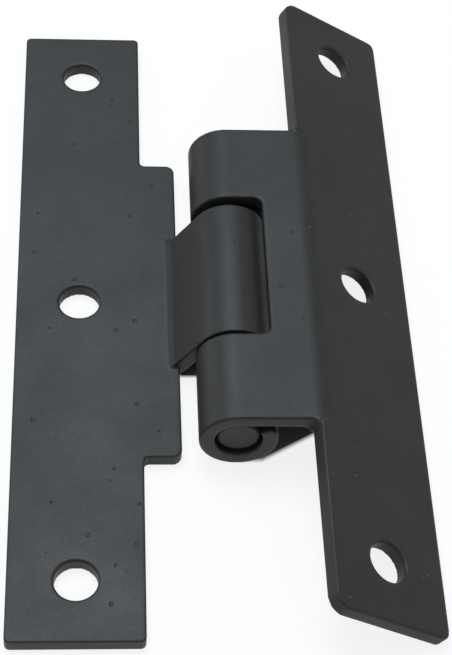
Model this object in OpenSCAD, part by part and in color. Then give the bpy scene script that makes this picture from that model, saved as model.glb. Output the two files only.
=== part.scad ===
// Offset cabinet hinge: a flat frame leaf, an offset door leaf and a plain pin.
// X runs across the hinge, Y runs along the pin and Z points out of the frame leaf's face.
// The origin is under the frame leaf's middle screw hole, on the face that meets the cabinet frame.
// The door leaf lies as it does on a loose hinge on a table: its outer edge has dropped to the table.

/* [Sheet and leaves] */
// Thickness of the steel sheet
sheet_t = 1.5; // [1.3:0.1:1.7]
// Height of both leaves, along the pin
leaf_len = 76.2; // [72:0.1:90]
// Width of the frame leaf's ends and of the door plate
leaf_w = 12.5; // [11:0.1:15]
// Length of the frame leaf's wider middle
middle_len = 37.3; // [34:0.1:44]
// Extra width of the frame leaf's middle, towards the pin
middle_extra = 3.6; // [2.5:0.1:4]
// Corner radius at the frame leaf's ends
frame_corner_r = 0.5; // [0.2:0.1:2]
// Outer corner radius of the frame leaf's steps
step_corner_r = 0.9; // [0.3:0.1:1.5]
// Inner corner radius of the frame leaf's steps
step_inner_r = 0.5; // [0.2:0.1:0.9]
// Radius of the door plate's corners on the pin's side
door_inner_r = 1.5; // [0.5:0.1:3]
// Radius of the door plate's outer corners
door_outer_r = 0.8; // [0.5:0.1:3]

/* [Screw holes] */
// Diameter of the screw holes
hole_d = 4.0; // [3:0.1:5]
// Distance between neighbouring screw holes
hole_pitch = 31.9; // [28:0.1:32]
// Width of the broken edge round each hole's face
hole_edge = 0.15; // [0.05:0.05:0.3]

/* [Offset and folds] */
// Distance between the backs of the two leaves when the hinge is shut
offset_back = 9.525; // [9:0.005:10.5]
// Distance from the pin's axis to the door plate's near edge, along the plate
plate_start = 4.3; // [4:0.1:4.8]
// Inside radius of the frame leaf's fold
frame_fold_r = 1.0; // [0.6:0.1:1.4]
// Inside radius of the door leaf's fold
door_fold_r = 1.8; // [0.6:0.1:2.2]
// Slope of the frame leaf's tongue
tongue_slope = 56.5; // [52:0.5:60]
// Radius in the corners between the door leaf's web and its plate
web_corner_r = 0.6; // [0.4:0.1:1.5]

/* [Knuckles] */
// Inside diameter of the rolled knuckles
bore_d = 4.5; // [4.2:0.1:4.8]
// Length of the whole barrel
barrel_len = 36.9; // [34:0.1:38]
// Length of the centre knuckle
centre_len = 16.1; // [12:0.1:18]
// How far the centre knuckle's middle lies from the middle screw holes, along the pin
centre_shift = -0.15; // [-0.5:0.05:0.5]
// Gap at the centre knuckle's near end
near_gap = 0.3; // [0.2:0.1:0.8]
// Gap at the centre knuckle's far end
far_gap = 1.0; // [0.2:0.1:1.2]
// Clear space between the centre knuckle and the window's edge in the web
window_gap = 0.25; // [0.2:0.05:0.5]
// Corner radius of the window
window_corner_r = 0.9; // [0.4:0.1:1.2]
// Opening left in each knuckle's roll, as an angle round the pin
roll_gap = 60; // [57:1:80]
// Corner radius at the rolled strip's end
strip_end_r = 0.7; // [0.3:0.1:0.8]

/* [Pin] */
// Radial clearance of the pin in the door leaf's knuckles
pin_clearance = 0.1; // [0.05:0.01:0.1]
// How far each pin end sits inside the barrel's end
pin_recess = 0.4; // [0.1:0.1:1]
// Chamfer at the pin's ends
pin_chamfer = 0.3; // [0.1:0.05:0.5]
// Radial squeeze of the pin's swelled middle in the centre knuckle
pin_grip = 0.02; // [0.01:0.01:0.03]
// How far the swelled middle stays inside each end of the centre knuckle
grip_margin = 1.5; // [1:0.1:3]

/* [Hidden] */
$fn = 96;
eps = 0.01;

// The knuckles: the barrel's underside is level with the frame leaf's back
bore_r = bore_d / 2;
knuckle_r = bore_r + sheet_t;
pin_z = knuckle_r;

// The tongue leaves the middle's edge at its slope and meets the knuckle as a tangent
middle_edge_x = leaf_w / 2 + middle_extra;
pin_x = middle_edge_x + (bore_r + knuckle_r * cos(tongue_slope)) / sin(tongue_slope);

// The door plate with the hinge shut: u runs across it from the pin and n points out of its face
plate_end = plate_start + leaf_w;
plate_mid = plate_start + leaf_w / 2;
plate_back = offset_back - knuckle_r;

// Angle by which the plate drops from shut until its outer edge lies on the table
drop = atan2(plate_back, plate_end) + asin(knuckle_r / norm([plate_end, plate_back]));

// Centre of the door leaf's fold, from the pin, and the place on the plate where the fold ends
door_fold_z = bore_r - door_fold_r;
door_fold_x = (plate_back - door_fold_r - door_fold_z * cos(drop)) / sin(drop);
door_fold_u = door_fold_x * cos(drop) - door_fold_z * sin(drop);

// Centre of the frame leaf's fold, from the pin, and the straight length of its tongue
frame_fold_z = sheet_t + frame_fold_r - pin_z;
frame_fold_x = (frame_fold_z * cos(tongue_slope) - knuckle_r - frame_fold_r) / sin(tongue_slope);
tongue_len = -frame_fold_x * cos(tongue_slope) - frame_fold_z * sin(tongue_slope);

// The window leaves room for the centre knuckle and its gaps
centre_near = centre_shift - centre_len / 2;
centre_far = centre_shift + centre_len / 2;
window_near = centre_near - near_gap;
window_far = centre_far + far_gap;
window_edge = sqrt(pow(knuckle_r + window_gap, 2) - pow(bore_r, 2));

// Moves a shape drawn about the pin's axis to its place
module at_pin() {
    translate([pin_x, 0, pin_z])
        children();
}

// Moves a shape drawn in the plate's own directions, u across and n outwards, to its place
module at_plate() {
    at_pin()
        rotate([0, drop, 0])
            children();
}

// Runs a section, drawn as seen along the pin, from one place on the pin to another
module along_pin(from, to) {
    translate([0, to, 0])
        rotate([90, 0, 0])
            linear_extrude(to - from)
                children();
}

// A pie slice between two angles, wide enough to cut any knuckle or fold
module slice(from, to) {
    reach = 3 * knuckle_r;
    polygon([[0, 0], for (i = [0:4]) reach * [cos(from + (to - from) * i / 4), sin(from + (to - from) * i / 4)]]);
}

// The sheet's section through a fold, between two angles
module fold_section(r, from, to) {
    intersection() {
        difference() {
            circle(r + sheet_t);
            circle(r);
        }
        slice(from, to);
    }
}

// The sheet's section through a knuckle: it arrives over the top from +X and rolls down the other side
module roll_section() {
    corner_reach = knuckle_r - strip_end_r;
    corner_turn = asin(strip_end_r / corner_reach);
    difference() {
        union() {
            difference() {
                circle(knuckle_r);
                slice(90 - roll_gap - corner_turn, 90);
            }
            difference() {
                circle(corner_reach * cos(corner_turn));
                slice(90 - roll_gap, 90);
            }
            rotate(90 - roll_gap - corner_turn)
                translate([corner_reach, 0])
                    circle(strip_end_r);
        }
        circle(bore_r);
    }
}

// The small piece between a square corner and its round, for rounding a corner off or filling one in
module corner_piece(at, turn, r) {
    translate(at)
        rotate(turn)
            difference() {
                translate([-eps, -eps])
                    square(r + eps);
                translate([r, r])
                    circle(r);
            }
}

// A row of three screw holes along Y, with broken edges on the outer face
module screw_holes() {
    for (i = [-1:1])
        translate([0, i * hole_pitch, 0]) {
            translate([0, 0, -1])
                cylinder(h = sheet_t + 2, d = hole_d);
            translate([0, 0, sheet_t - hole_edge])
                cylinder(h = 2 * hole_edge, d1 = hole_d, d2 = hole_d + 4 * hole_edge);
        }
}

// The flat of the frame leaf: narrow ends, a wider middle and a notch where the tongue rises
module frame_outline() {
    half_w = leaf_w / 2;
    half_len = leaf_len / 2;
    half_middle = middle_len / 2;
    notch_x = pin_x + frame_fold_x;
    difference() {
        union() {
            translate([-half_w, -half_len])
                square([leaf_w, leaf_len]);
            translate([0, -half_middle])
                square([middle_edge_x, middle_len]);
            corner_piece([half_w, half_middle], 0, step_inner_r);
            corner_piece([half_w, -half_middle], -90, step_inner_r);
        }
        translate([notch_x + eps, centre_near])
            square([middle_edge_x, centre_len]);
        corner_piece([-half_w, -half_len], 0, frame_corner_r);
        corner_piece([half_w, -half_len], 90, frame_corner_r);
        corner_piece([half_w, half_len], 180, frame_corner_r);
        corner_piece([-half_w, half_len], -90, frame_corner_r);
        corner_piece([middle_edge_x, -half_middle], 90, step_corner_r);
        corner_piece([middle_edge_x, half_middle], 180, step_corner_r);
    }
}

// The frame leaf: one sheet, flat, then folded up into a tongue and rolled into the centre knuckle
module frame_leaf() {
    color([0.27, 0.28, 0.29]) {
        difference() {
            linear_extrude(sheet_t)
                frame_outline();
            screw_holes();
        }
        at_pin()
            along_pin(centre_near, centre_far)
                rotate(tongue_slope)
                    mirror([1, 0]) {
                        roll_section();
                        translate([0, bore_r])
                            square([tongue_len, sheet_t]);
                        translate([tongue_len, knuckle_r + frame_fold_r])
                            fold_section(frame_fold_r, -90, tongue_slope - 90);
                    }
    }
}

// The flat of the door plate, cut back where the fold of the web begins
module plate_outline() {
    half_len = leaf_len / 2;
    difference() {
        translate([plate_start, -half_len])
            square([leaf_w, leaf_len]);
        translate([plate_start - 1, -barrel_len / 2])
            square([door_fold_u - plate_start + 1 - eps, barrel_len]);
        corner_piece([plate_start, -half_len], 0, door_inner_r);
        corner_piece([plate_end, -half_len], 90, door_outer_r);
        corner_piece([plate_end, half_len], 180, door_outer_r);
        corner_piece([plate_start, half_len], -90, door_inner_r);
    }
}

// The web's section: level from over the pin, then folded down into the plate
module web_section() {
    translate([0, bore_r])
        square([door_fold_x, sheet_t]);
    translate([door_fold_x, door_fold_z])
        fold_section(door_fold_r, 90 - drop, 90);
}

// The window in the web, seen from above and open on the side away from the plate
module window_outline() {
    difference() {
        translate([-1, window_near])
            square([window_edge + 1, window_far - window_near]);
        corner_piece([window_edge, window_near], 90, window_corner_r);
        corner_piece([window_edge, window_far], 180, window_corner_r);
    }
}

// The web over the whole barrel, with its window
module web() {
    difference() {
        at_pin()
            along_pin(-barrel_len / 2, barrel_len / 2)
                web_section();
        translate([pin_x, 0, pin_z])
            linear_extrude(2 * knuckle_r)
                window_outline();
    }
}

// The round between the far end of the web and the plate's near edge
module web_corner() {
    round_u = plate_start - web_corner_r;
    round_y = barrel_len / 2 + web_corner_r;
    intersection() {
        at_pin()
            along_pin(barrel_len / 2 - eps, round_y)
                web_section();
        at_plate()
            linear_extrude(3 * knuckle_r)
                difference() {
                    translate([round_u, 0])
                        square([leaf_w, round_y + 1]);
                    translate([round_u, round_y])
                        circle(web_corner_r);
                }
    }
}

// The door leaf: one sheet, folded from plate to web and rolled into the two outer knuckles
module door_leaf() {
    color([0.23, 0.23, 0.22]) {
        at_plate()
            translate([0, 0, plate_back])
                difference() {
                    linear_extrude(sheet_t)
                        plate_outline();
                    translate([plate_mid, 0, 0])
                        screw_holes();
                }
        web();
        web_corner();
        mirror([0, 1, 0])
            web_corner();
        at_pin() {
            along_pin(-barrel_len / 2, window_near)
                roll_section();
            along_pin(window_far, barrel_len / 2)
                roll_section();
        }
    }
}

// The pin: plain at both ends, with a slightly swelled middle that the centre knuckle grips
module hinge_pin() {
    pin_r = bore_r - pin_clearance;
    grip_r = bore_r + pin_grip;
    end = barrel_len / 2 - pin_recess;
    swell = 0.4;
    grip_near = centre_near + grip_margin;
    grip_far = centre_far - grip_margin;
    color([0.3, 0.3, 0.3])
        at_pin()
            rotate([-90, 0, 0])
                rotate_extrude()
                    polygon([
                        [0, -end],
                        [pin_r - pin_chamfer, -end],
                        [pin_r, pin_chamfer - end],
                        [pin_r, grip_near],
                        [grip_r, grip_near + swell],
                        [grip_r, grip_far - swell],
                        [pin_r, grip_far],
                        [pin_r, end - pin_chamfer],
                        [pin_r - pin_chamfer, end],
                        [0, end]
                    ]);
}

frame_leaf();
door_leaf();
hinge_pin();
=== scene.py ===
"""Dresses the offset cabinet hinge: a dark grained coating on its leaves and pin, on a pale table."""

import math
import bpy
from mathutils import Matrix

bl_info = {
    "name": "Offset Cabinet Hinge",
    "version": (1, 0, 0),
    "blender": (4, 5, 0),
    "location": "3D View > Sidebar > Hinge",
    "description": "Finishes an offset cabinet hinge and sets its stage",
    "category": "Object",
}

import bpy
from bpy.props import FloatProperty, FloatVectorProperty, IntProperty, PointerProperty
from bpy.types import Operator, Panel, PropertyGroup
from mathutils import Matrix, Vector

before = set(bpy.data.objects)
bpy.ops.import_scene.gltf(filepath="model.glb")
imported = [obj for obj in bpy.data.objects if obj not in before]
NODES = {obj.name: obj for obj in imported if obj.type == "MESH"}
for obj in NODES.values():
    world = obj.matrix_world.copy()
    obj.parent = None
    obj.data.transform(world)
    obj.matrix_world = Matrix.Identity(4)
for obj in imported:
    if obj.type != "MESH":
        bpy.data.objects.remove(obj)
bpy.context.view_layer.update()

# The pin's axis lies this far to the right of the origin
PIN_X = 0.0150303

# Seams between the node's faces that are narrower than this are welded
WELD_GAP = 1.5e-5

# The pits' outlines are shifted by this much, in waves of about this width
PIT_WAVE = 0.0003
PIT_SHIFT = 0.00025

# Within this distance of a sharp edge the coating is painted lighter, partly as thinned coating and
# partly as a painted edge highlight
LIGHTER_EDGE_REACH = 0.00022

# The space under the web, where the table is not lifted to white and shade is painted into its colour,
# reaches from the pin to the door plate. Its near boundary bends towards the plate, and its borders
# fade over a short way.
WEB_WIDTH = 0.0098
WEB_HALF_LENGTH = 0.0181
WEB_BEND_START = 0.0175
WEB_BEND_SLOPE = 0.58
WEB_FADE = 0.0003

# The space under the tongue, also not lifted and with shade painted into the table's colour: start and
# end of each border's fade
TONGUE_LEFT = (0.0098, 0.0100)
TONGUE_RIGHT = (PIN_X + 0.001, PIN_X)
TONGUE_NEAR = (-0.0084, -0.0080)
TONGUE_FAR = (0.0082, 0.0078)

# The photograph's height and its camera's focal length, in pixels
PHOTO_HEIGHT = 655.0
PHOTO_FOCUS = 1808.9

# The directions to the right, up and back of the photograph's camera
CAMERA_TURN = (
    (0.99729, -0.04049, 0.06136),
    (-0.00594, 0.78761, 0.61614),
    (-0.07327, -0.61484, 0.78524),
)

# The lamps: name, then turn and rise in degrees as seen from the hinge's middle
LAMPS = (
    ("top_lamp", 112.0, 68.0),
    ("side_lamp", 155.0, 15.0),
    ("warm_lamp", 0.0, 42.0),
)
LAMP_SIZE = 0.36
HINGE_MIDDLE = (0.012, 0.0, 0.0)
ROOM_COLOUR = (0.85, 1.0, 0.96, 1.0)
WHITE = (1.0, 1.0, 1.0, 1.0)


# Settings


class HingeEdgeSettings(PropertyGroup):
    """How the pressed edges are rolled."""

    skin: FloatProperty(
        name="Skin",
        description="Width of the fine facets that the edges are rolled in",
        default=0.00012,
        min=0.00005,
        subtype="DISTANCE",
        unit="LENGTH",
    )
    frame_passes: IntProperty(
        name="Frame Leaf Rolling",
        description="How many times the flat leaf's edges are smoothed",
        default=5,
        min=1,
        max=60,
    )
    door_passes: IntProperty(
        name="Door Leaf Rolling",
        description="How many times the offset leaf's edges are smoothed",
        default=12,
        min=1,
        max=60,
    )
    pin_passes: IntProperty(
        name="Pin Rolling",
        description="How many times the pin's edges are smoothed",
        default=4,
        min=1,
        max=60,
    )
    kept_share: FloatProperty(
        name="Kept Share",
        description="Share of the fine facets that is kept once the flats are made light",
        default=0.15,
        min=0.02,
        max=1.0,
        subtype="FACTOR",
    )


class HingeCoatSettings(PropertyGroup):
    """The dark coating and its grain."""

    frame_colour: FloatVectorProperty(
        name="Frame Leaf Colour",
        description="Colour of the coating on the flat leaf",
        default=(0.022, 0.022, 0.022),
        size=3,
        min=0.0,
        max=1.0,
        subtype="COLOR",
    )
    door_colour: FloatVectorProperty(
        name="Door Leaf Colour",
        description="Colour of the coating on the offset leaf",
        default=(0.022, 0.022, 0.022),
        size=3,
        min=0.0,
        max=1.0,
        subtype="COLOR",
    )
    pin_colour: FloatVectorProperty(
        name="Pin Colour",
        description="Colour of the coating on the pin",
        default=(0.020, 0.020, 0.020),
        size=3,
        min=0.0,
        max=1.0,
        subtype="COLOR",
    )
    # Lighter colour of the pit floors and along sharp edges; along the edges it is partly thinned
    # coating and partly a painted edge highlight
    worn_and_edge_highlight_colour: FloatVectorProperty(
        name="Worn Colour",
        description="Colour where the coating has thinned along the edges",
        default=(0.06, 0.06, 0.06),
        size=3,
        min=0.0,
        max=1.0,
        subtype="COLOR",
    )
    grain: FloatProperty(
        name="Grain",
        description="Distance between neighbouring bumps of the coating's fine grain",
        default=0.00022,
        min=0.00005,
        subtype="DISTANCE",
        unit="LENGTH",
    )
    grain_height: FloatProperty(
        name="Grain Height",
        description="Height of the fine grain",
        default=0.000012,
        min=0.0,
        subtype="DISTANCE",
        unit="LENGTH",
    )
    ripple: FloatProperty(
        name="Ripple",
        description="Distance between the coating's broad ripples",
        default=0.0016,
        min=0.0002,
        subtype="DISTANCE",
        unit="LENGTH",
    )
    ripple_height: FloatProperty(
        name="Ripple Height",
        description="Height of the broad ripples",
        default=0.00002,
        min=0.0,
        subtype="DISTANCE",
        unit="LENGTH",
    )
    cloud: FloatProperty(
        name="Cloud",
        description="Distance between the soft clouds of the coating's mottling",
        default=0.009,
        min=0.001,
        subtype="DISTANCE",
        unit="LENGTH",
    )
    mottle: FloatProperty(
        name="Mottle",
        description="How much darker and lighter the coating gets in its clouds",
        default=0.10,
        min=0.0,
        max=0.5,
        subtype="FACTOR",
    )
    pit_spacing: FloatProperty(
        name="Pit Spacing",
        description="Distance between the places where a pit may be",
        default=0.0020,
        min=0.0005,
        subtype="DISTANCE",
        unit="LENGTH",
    )
    pit_size: FloatProperty(
        name="Pit Size",
        description="Radius of a pit",
        default=0.00024,
        min=0.0,
        subtype="DISTANCE",
        unit="LENGTH",
    )
    pit_depth: FloatProperty(
        name="Pit Depth",
        description="Depth of a pit",
        default=0.00012,
        min=0.0,
        subtype="DISTANCE",
        unit="LENGTH",
    )
    roughness: FloatProperty(
        name="Roughness",
        description="Roughness of the coating's sheen",
        default=0.50,
        min=0.0,
        max=1.0,
        subtype="FACTOR",
    )
    sheen: FloatProperty(
        name="Sheen",
        description="Strength of the coating's sheen",
        default=0.35,
        min=0.0,
        max=1.0,
        subtype="FACTOR",
    )


class HingeStageSettings(PropertyGroup):
    """The table, the lamps and the camera."""

    floor_colour: FloatVectorProperty(
        name="Table Colour",
        description="Colour of the table",
        default=(0.80, 0.80, 0.80),
        size=3,
        min=0.0,
        max=1.0,
        subtype="COLOR",
    )
    floor_size: FloatProperty(
        name="Table Size",
        description="Width of the square table",
        default=3.0,
        min=0.2,
        subtype="DISTANCE",
        unit="LENGTH",
    )
    table_lift: FloatProperty(
        name="Table Lift",
        description="How far the open table is lifted to white; the rest shows the hinge's shadow",
        default=0.85,
        min=0.0,
        max=1.0,
        subtype="FACTOR",
    )
    # Painted shade: share of the table's colour kept under the web and the tongue
    painted_under_shade: FloatProperty(
        name="Shade Under the Web",
        description="Share of the table's colour left in the deep shade under the web and the tongue",
        default=0.3,
        min=0.0,
        max=1.0,
        subtype="FACTOR",
    )
    room_strength: FloatProperty(
        name="Room Light",
        description="Strength of the even light from the room",
        default=0.34,
        min=0.0,
    )
    top_power: FloatProperty(
        name="Top Lamp Power",
        description="Power of the large lamp high over the far side",
        default=2.85,
        min=0.0,
        subtype="POWER",
        unit="POWER",
    )
    top_colour: FloatVectorProperty(
        name="Top Lamp Colour",
        description="Colour of the lamp high over the far side",
        default=(0.83, 0.90, 1.0),
        size=3,
        min=0.0,
        max=1.0,
        subtype="COLOR",
    )
    side_power: FloatProperty(
        name="Side Lamp Power",
        description="Power of the low lamp at the left",
        default=0.60,
        min=0.0,
        subtype="POWER",
        unit="POWER",
    )
    side_colour: FloatVectorProperty(
        name="Side Lamp Colour",
        description="Colour of the low lamp at the left",
        default=(1.0, 0.97, 1.0),
        size=3,
        min=0.0,
        max=1.0,
        subtype="COLOR",
    )
    warm_power: FloatProperty(
        name="Warm Lamp Power",
        description="Power of the small warm lamp at the right",
        default=0.50,
        min=0.0,
        subtype="POWER",
        unit="POWER",
    )
    warm_colour: FloatVectorProperty(
        name="Warm Lamp Colour",
        description="Colour of the lamp at the right",
        default=(1.0, 0.55, 0.25),
        size=3,
        min=0.0,
        max=1.0,
        subtype="COLOR",
    )
    lamp_distance: FloatProperty(
        name="Lamp Distance",
        description="How far the lamps stand from the hinge",
        default=0.6,
        min=0.2,
        subtype="DISTANCE",
        unit="LENGTH",
    )
    camera_place: FloatVectorProperty(
        name="Camera Place",
        description="Where the camera stands",
        default=(0.00139, -0.11392, 0.14290),
        size=3,
        subtype="TRANSLATION",
        unit="LENGTH",
    )
    view_height: FloatProperty(
        name="View Height",
        description="Angle that the picture's height takes in",
        default=2.0 * math.atan(0.5 * PHOTO_HEIGHT / PHOTO_FOCUS),
        subtype="ANGLE",
        unit="ROTATION",
    )


# Materials


def node_at(tree, kind, x, y, **values):
    """Adds one shader node, with its properties and its socket values."""
    made = tree.nodes.new(kind)
    made.location = (x, y)
    for name, value in values.items():
        if name in made.inputs:
            made.inputs[name].default_value = value
        else:
            setattr(made, name, value)
    return made


def join(tree, operation, first, second, x, y):
    """Joins two values by one sum, product or the like."""
    made = node_at(tree, "ShaderNodeMath", x, y, operation=operation)
    tree.links.new(first, made.inputs[0])
    tree.links.new(second, made.inputs[1])
    return made.outputs[0]


def noise(tree, place, spacing, x, y, detail=2.0, rough=0.5):
    """A noise in the object's own metres, with bumps about one spacing apart."""
    made = node_at(tree, "ShaderNodeTexNoise", x, y)
    made.inputs["Scale"].default_value = 1.0 / spacing
    made.inputs["Detail"].default_value = detail
    made.inputs["Roughness"].default_value = rough
    tree.links.new(place, made.inputs["Vector"])
    return made.outputs["Fac"]


def spread(tree, value, low, high, out_low, out_high, x, y):
    """Maps one range of a value to another, and holds it inside."""
    made = node_at(tree, "ShaderNodeMapRange", x, y)
    made.clamp = True
    made.inputs["From Min"].default_value = low
    made.inputs["From Max"].default_value = high
    made.inputs["To Min"].default_value = out_low
    made.inputs["To Max"].default_value = out_high
    tree.links.new(value, made.inputs["Value"])
    return made.outputs["Result"]


def coat_material(name, colour, coat, edge_wear_and_highlight=0.5):
    """A satin coating over steel: mottling, fine grain, ripples, scattered pits and lighter edges,
    partly thinned coating and partly a painted edge highlight.
    """
    material = bpy.data.materials.new(name)
    material.use_nodes = True
    tree = material.node_tree
    shader = tree.nodes["Principled BSDF"]
    shader.inputs["Specular IOR Level"].default_value = coat.sheen
    place = node_at(tree, "ShaderNodeTexCoord", -1900, 0).outputs["Object"]

    fine = noise(tree, place, coat.grain, -1500, -300, detail=3.0, rough=0.6)
    broad = noise(tree, place, coat.ripple, -1500, -550, detail=2.0)
    cloud = noise(tree, place, coat.cloud, -1500, 300, detail=4.0, rough=0.6)

    # Mottling: the coating is a little darker and lighter in soft clouds
    shade = spread(tree, cloud, 0.3, 0.7, 1.0 - coat.mottle, 1.0 + coat.mottle, -1200, 300)
    pepper = spread(tree, fine, 0.25, 0.75, 0.93, 1.07, -1200, 100)
    base = node_at(tree, "ShaderNodeMix", -700, 200, data_type="RGBA", blend_type="MULTIPLY")
    base.inputs["Factor"].default_value = 1.0
    base.inputs["A"].default_value = (*colour, 1.0)
    tree.links.new(join(tree, "MULTIPLY", shade, pepper, -950, 200), base.inputs["B"])

    # Pits: small craters with uneven rims, more of them where the clouds are light
    drift = node_at(tree, "ShaderNodeVectorMath", -1500, -900, operation="MULTIPLY_ADD")
    wobble = node_at(tree, "ShaderNodeTexNoise", -1700, -900, Scale=1.0 / PIT_WAVE)
    tree.links.new(place, wobble.inputs["Vector"])
    tree.links.new(wobble.outputs["Color"], drift.inputs[0])
    drift.inputs[1].default_value = (PIT_SHIFT, PIT_SHIFT, PIT_SHIFT)
    tree.links.new(place, drift.inputs[2])
    cells = node_at(tree, "ShaderNodeTexVoronoi", -1300, -900, Scale=1.0 / coat.pit_spacing)
    tree.links.new(drift.outputs[0], cells.inputs["Vector"])
    reach = coat.pit_size / coat.pit_spacing
    crater = spread(tree, cells.outputs["Distance"], 0.35 * reach, reach, 1.0, 0.0, -1000, -900)
    split = node_at(tree, "ShaderNodeSeparateColor", -1100, -1100)
    tree.links.new(cells.outputs["Color"], split.inputs[0])
    more = spread(tree, cloud, 0.4, 0.7, -0.25, 0.25, -1100, -1300)
    crowd = join(tree, "ADD", split.outputs[0], more, -900, -1100)
    there = spread(tree, crowd, 0.50, 0.54, 0.0, 1.0, -750, -1100)
    pits = join(tree, "MULTIPLY", crater, there, -550, -900)
    floors = node_at(tree, "ShaderNodeMix", -350, 200, data_type="RGBA")
    floors.inputs["B"].default_value = (*coat.worn_and_edge_highlight_colour, 1.0)
    tree.links.new(spread(tree, pits, 0.0, 1.0, 0.0, 0.6, -550, 400), floors.inputs["Factor"])
    tree.links.new(base.outputs["Result"], floors.inputs["A"])

    # Lighter edges, partly thinned coating and partly a painted edge highlight: the rounded normal
    # turns away from the face's own normal there
    rounded = node_at(tree, "ShaderNodeBevel", -1500, 700, samples=6)
    rounded.inputs["Radius"].default_value = LIGHTER_EDGE_REACH
    flat = node_at(tree, "ShaderNodeNewGeometry", -1500, 900)
    along = node_at(tree, "ShaderNodeVectorMath", -1300, 800, operation="DOT_PRODUCT")
    tree.links.new(rounded.outputs["Normal"], along.inputs[0])
    tree.links.new(flat.outputs["Normal"], along.inputs[1])
    edge = spread(tree, along.outputs["Value"], 0.995, 0.90, 0.0, edge_wear_and_highlight, -1100, 800)
    patchy = spread(tree, broad, 0.38, 0.62, 0.15, 1.0, -1100, 600)
    edges = node_at(tree, "ShaderNodeMix", -100, 200, data_type="RGBA")
    edges.inputs["B"].default_value = (*coat.worn_and_edge_highlight_colour, 1.0)
    tree.links.new(join(tree, "MULTIPLY", edge, patchy, -900, 700), edges.inputs["Factor"])
    tree.links.new(floors.outputs["Result"], edges.inputs["A"])
    tree.links.new(edges.outputs["Result"], shader.inputs["Base Color"])

    # Sheen: smoother and rougher with the clouds and the grain
    gloss = spread(tree, cloud, 0.3, 0.7, coat.roughness + 0.05, coat.roughness - 0.05, -700, -50)
    grit = spread(tree, fine, 0.25, 0.75, -0.05, 0.05, -700, -200)
    tree.links.new(join(tree, "ADD", gloss, grit, -450, -100), shader.inputs["Roughness"])

    # Relief: ripples, then the grain, then the pits
    normal = None
    for number, (height, depth) in enumerate(
        ((broad, coat.ripple_height), (fine, coat.grain_height), (pits, -coat.pit_depth))
    ):
        relief = node_at(tree, "ShaderNodeBump", -500 + 200 * number, -500, Distance=abs(depth))
        relief.inputs["Strength"].default_value = 1.0
        relief.invert = depth < 0
        tree.links.new(height, relief.inputs["Height"])
        if normal:
            tree.links.new(normal, relief.inputs["Normal"])
        normal = relief.outputs["Normal"]
    tree.links.new(normal, shader.inputs["Normal"])
    return material


def overlap(tree, masks, x, y):
    """Multiplies masks into one, which is the region that they share."""
    shared = masks[0]
    for number, mask in enumerate(masks[1:]):
        shared = join(tree, "MULTIPLY", shared, mask, x + 150 * number, y)
    return shared


def web_space(tree, across, along):
    """Where the table lies under the web: there its white lift is taken off and shade is painted into
    its colour.
    """
    lean = node_at(tree, "ShaderNodeMath", -1300, 300, operation="MULTIPLY_ADD")
    lean.inputs[1].default_value = -WEB_BEND_SLOPE
    lean.inputs[2].default_value = WEB_BEND_SLOPE * WEB_BEND_START
    tree.links.new(across, lean.inputs[0])
    bent = join(tree, "ADD", along, lean.outputs[0], -1100, 300)
    near_side = join(tree, "MINIMUM", along, bent, -950, 300)
    left, right = PIN_X, PIN_X + WEB_WIDTH
    near, far = -WEB_HALF_LENGTH, WEB_HALF_LENGTH
    borders = (
        spread(tree, across, left - WEB_FADE, left + WEB_FADE, 0.0, 1.0, -900, 700),
        spread(tree, across, right + WEB_FADE, right - WEB_FADE, 0.0, 1.0, -900, 500),
        spread(tree, near_side, near - WEB_FADE, near + WEB_FADE, 0.0, 1.0, -700, 400),
        spread(tree, along, far + WEB_FADE, far - WEB_FADE, 0.0, 1.0, -700, 600),
    )
    return overlap(tree, borders, -500, 600)


def tongue_space(tree, across, along):
    """Where the table lies under the tongue: there its white lift is taken off and shade is painted
    into its colour.
    """
    borders = (
        spread(tree, across, *TONGUE_LEFT, 0.0, 1.0, -900, 1100),
        spread(tree, across, *TONGUE_RIGHT, 0.0, 1.0, -900, 1300),
        spread(tree, along, *TONGUE_NEAR, 0.0, 1.0, -700, 1100),
        spread(tree, along, *TONGUE_FAR, 0.0, 1.0, -700, 1300),
    )
    return overlap(tree, borders, -500, 1200)


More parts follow.
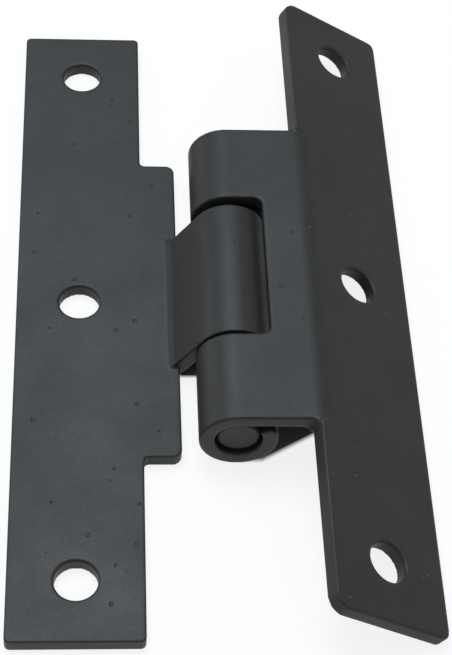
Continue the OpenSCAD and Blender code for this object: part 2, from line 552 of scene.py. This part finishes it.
def table_material(stage):
    """The pale table: rays from the eye see it lifted to white, but not under the web and the tongue,
    where shade is painted into its colour.
    """
    material = bpy.data.materials.new("pale_table")
    material.use_nodes = True
    tree = material.node_tree
    shader = tree.nodes["Principled BSDF"]
    shader.inputs["Roughness"].default_value = 0.9
    shader.inputs["Specular IOR Level"].default_value = 0.0
    white = node_at(tree, "ShaderNodeEmission", -300, -300, Strength=1.0)
    white.inputs["Color"].default_value = WHITE

    # Rays from the eye, from sheens and through glass see the table as white card
    path = node_at(tree, "ShaderNodeLightPath", -1300, -100)
    seen = path.outputs["Is Camera Ray"]
    for number, ray in enumerate(("Is Glossy Ray", "Is Transmission Ray")):
        seen = join(tree, "MAXIMUM", seen, path.outputs[ray], -1100 + 200 * number, -100)
    card = node_at(tree, "ShaderNodeMix", -500, 300, data_type="RGBA")
    card.inputs["A"].default_value = (*stage.floor_colour, 1.0)
    card.inputs["B"].default_value = WHITE
    tree.links.new(seen, card.inputs["Factor"])

    # Under the web and the tongue the white lift is taken off and shade is painted into the table's
    # colour
    place = node_at(tree, "ShaderNodeTexCoord", -1700, 500).outputs["Object"]
    axes = node_at(tree, "ShaderNodeSeparateXYZ", -1500, 500)
    tree.links.new(place, axes.inputs[0])
    across, along = axes.outputs["X"], axes.outputs["Y"]
    spaces = (web_space(tree, across, along), tongue_space(tree, across, along))
    under = join(tree, "MAXIMUM", *spaces, -50, 900)
    opened = spread(tree, under, 0.0, 1.0, stage.table_lift, 0.0, 0, 600)
    # Painted shade: the table's own colour is darkened under the web and the tongue, for every ray
    shade = spread(tree, under, 0.0, 1.0, 1.0, stage.painted_under_shade, -400, 0)
    painted_shade_dim = node_at(tree, "ShaderNodeMix", -200, 300, data_type="RGBA", blend_type="MULTIPLY")
    painted_shade_dim.inputs["Factor"].default_value = 1.0
    tree.links.new(card.outputs["Result"], painted_shade_dim.inputs["A"])
    tree.links.new(shade, painted_shade_dim.inputs["B"])
    tree.links.new(painted_shade_dim.outputs["Result"], shader.inputs["Base Color"])
    blend = node_at(tree, "ShaderNodeMixShader", 300, 100)
    tree.links.new(join(tree, "MULTIPLY", opened, seen, 150, 400), blend.inputs[0])
    tree.links.new(shader.outputs[0], blend.inputs[1])
    tree.links.new(white.outputs[0], blend.inputs[2])
    tree.links.new(blend.outputs[0], tree.nodes["Material Output"].inputs["Surface"])
    return material


# Shapes


def roll_edges(piece, passes, edges):
    """Joins the node's faces and rolls its edges, as pressing and coating do, in a fine skin."""
    weld = piece.modifiers.new("join_faces", "WELD")
    weld.merge_threshold = WELD_GAP
    skin = piece.modifiers.new("fine_skin", "REMESH")
    skin.mode = "VOXEL"
    skin.voxel_size = edges.skin
    skin.use_smooth_shade = True
    rolled = piece.modifiers.new("rolled_edges", "SMOOTH")
    rolled.factor = 0.5
    rolled.iterations = passes
    light = piece.modifiers.new("light_flats", "DECIMATE")
    light.decimate_type = "COLLAPSE"
    light.ratio = edges.kept_share


# Operators


class HINGE_OT_frame_leaf(Operator):
    """Finish the flat leaf, its tongue and the centre knuckle"""

    bl_idname = "hinge.frame_leaf"
    bl_label = "Frame Leaf"

    def execute(self, context):
        coat = context.scene.hinge_coat
        leaf = NODES["frame_leaf"]
        edges = context.scene.hinge_edges
        roll_edges(leaf, edges.frame_passes, edges)
        leaf.material_slots[0].material = coat_material("frame_leaf_coat", coat.frame_colour, coat)
        return {"FINISHED"}


class HINGE_OT_door_leaf(Operator):
    """Finish the offset leaf, its web and the two outer knuckles"""

    bl_idname = "hinge.door_leaf"
    bl_label = "Door Leaf"

    def execute(self, context):
        coat = context.scene.hinge_coat
        leaf = NODES["door_leaf"]
        edges = context.scene.hinge_edges
        roll_edges(leaf, edges.door_passes, edges)
        leaf.material_slots[0].material = coat_material("door_leaf_coat", coat.door_colour, coat)
        return {"FINISHED"}


class HINGE_OT_pin(Operator):
    """Finish the pin"""

    bl_idname = "hinge.pin"
    bl_label = "Pin"

    def execute(self, context):
        coat = context.scene.hinge_coat
        pin = NODES["hinge_pin"]
        edges = context.scene.hinge_edges
        roll_edges(pin, edges.pin_passes, edges)
        pin.material_slots[0].material = coat_material("pin_coat", coat.pin_colour, coat, edge_wear_and_highlight=0.3)
        return {"FINISHED"}


class HINGE_OT_stage(Operator):
    """Set the table, the lamps and the camera"""

    bl_idname = "hinge.stage"
    bl_label = "Stage"

    def execute(self, context):
        stage = context.scene.hinge_stage
        add_table(stage)
        add_light(context, stage)
        add_camera(context, stage)
        return {"FINISHED"}


def add_table(stage):
    """The table that the loose hinge lies on, at the height of the frame leaf's back."""
    half = stage.floor_size / 2
    mesh = bpy.data.meshes.new("table")
    corners = [(-half, -half, 0), (half, -half, 0), (half, half, 0), (-half, half, 0)]
    mesh.from_pydata(corners, [], [(0, 1, 2, 3)])
    table = bpy.data.objects.new("table", mesh)
    bpy.context.scene.collection.objects.link(table)
    mesh.materials.append(table_material(stage))


def add_lamp(name, place, power, colour):
    """One soft square lamp that faces the hinge's middle."""
    data = bpy.data.lights.new(name, "AREA")
    data.shape = "RECTANGLE"
    data.size = data.size_y = LAMP_SIZE
    data.energy = power
    data.color = colour
    lamp = bpy.data.objects.new(name, data)
    lamp.location = place
    lamp.rotation_euler = (Vector(HINGE_MIDDLE) - place).to_track_quat("-Z", "Y").to_euler()
    bpy.context.scene.collection.objects.link(lamp)


def add_light(context, stage):
    """The room's even light and three lamps: high behind, low at the left and warm at the right."""
    world = bpy.data.worlds.new("room")
    world.use_nodes = True
    room = world.node_tree.nodes["Background"]
    room.inputs["Color"].default_value = ROOM_COLOUR
    room.inputs["Strength"].default_value = stage.room_strength
    context.scene.world = world
    lights = (
        (stage.top_power, stage.top_colour),
        (stage.side_power, stage.side_colour),
        (stage.warm_power, stage.warm_colour),
    )
    for (name, turn, rise), (power, colour) in zip(LAMPS, lights):
        turn, rise = math.radians(turn), math.radians(rise)
        level = math.cos(rise)
        ray = Vector((level * math.cos(turn), level * math.sin(turn), math.sin(rise)))
        add_lamp(name, Vector(HINGE_MIDDLE) + stage.lamp_distance * ray, power, colour)


def add_camera(context, stage):
    """The camera at the photograph's place, turned as it was."""
    data = bpy.data.cameras.new("camera")
    data.sensor_fit = "VERTICAL"
    data.sensor_height = 36.0
    data.lens = 0.5 * data.sensor_height / math.tan(stage.view_height / 2)
    data.clip_start = 0.01
    camera = bpy.data.objects.new("camera", data)
    turn = Matrix(CAMERA_TURN).transposed().to_4x4()
    camera.matrix_world = Matrix.Translation(stage.camera_place) @ turn
    context.scene.collection.objects.link(camera)
    context.scene.camera = camera
    context.scene.view_settings.view_transform = "Standard"


class HINGE_PT_panel(Panel):
    """The hinge's pieces and its stage"""

    bl_idname = "HINGE_PT_panel"
    bl_label = "Offset Cabinet Hinge"
    bl_space_type = "VIEW_3D"
    bl_region_type = "UI"
    bl_category = "Hinge"

    def draw(self, context):
        layout = self.layout
        for group in ("hinge_edges", "hinge_coat", "hinge_stage"):
            settings = getattr(context.scene, group)
            column = layout.column(align=True)
            for name in settings.__annotations__:
                column.prop(settings, name)
        for operator in OPERATORS:
            layout.operator(operator.bl_idname)


OPERATORS = (HINGE_OT_frame_leaf, HINGE_OT_door_leaf, HINGE_OT_pin, HINGE_OT_stage)
CLASSES = (HingeEdgeSettings, HingeCoatSettings, HingeStageSettings, *OPERATORS, HINGE_PT_panel)


def register():
    for each in CLASSES:
        bpy.utils.register_class(each)
    bpy.types.Scene.hinge_edges = PointerProperty(type=HingeEdgeSettings)
    bpy.types.Scene.hinge_coat = PointerProperty(type=HingeCoatSettings)
    bpy.types.Scene.hinge_stage = PointerProperty(type=HingeStageSettings)


def unregister():
    del bpy.types.Scene.hinge_stage
    del bpy.types.Scene.hinge_coat
    del bpy.types.Scene.hinge_edges
    for each in reversed(CLASSES):
        bpy.utils.unregister_class(each)


def main():
    register()
    bpy.ops.hinge.frame_leaf()
    bpy.ops.hinge.door_leaf()
    bpy.ops.hinge.pin()
    bpy.ops.hinge.stage()


if __name__ == "__main__":
    main()
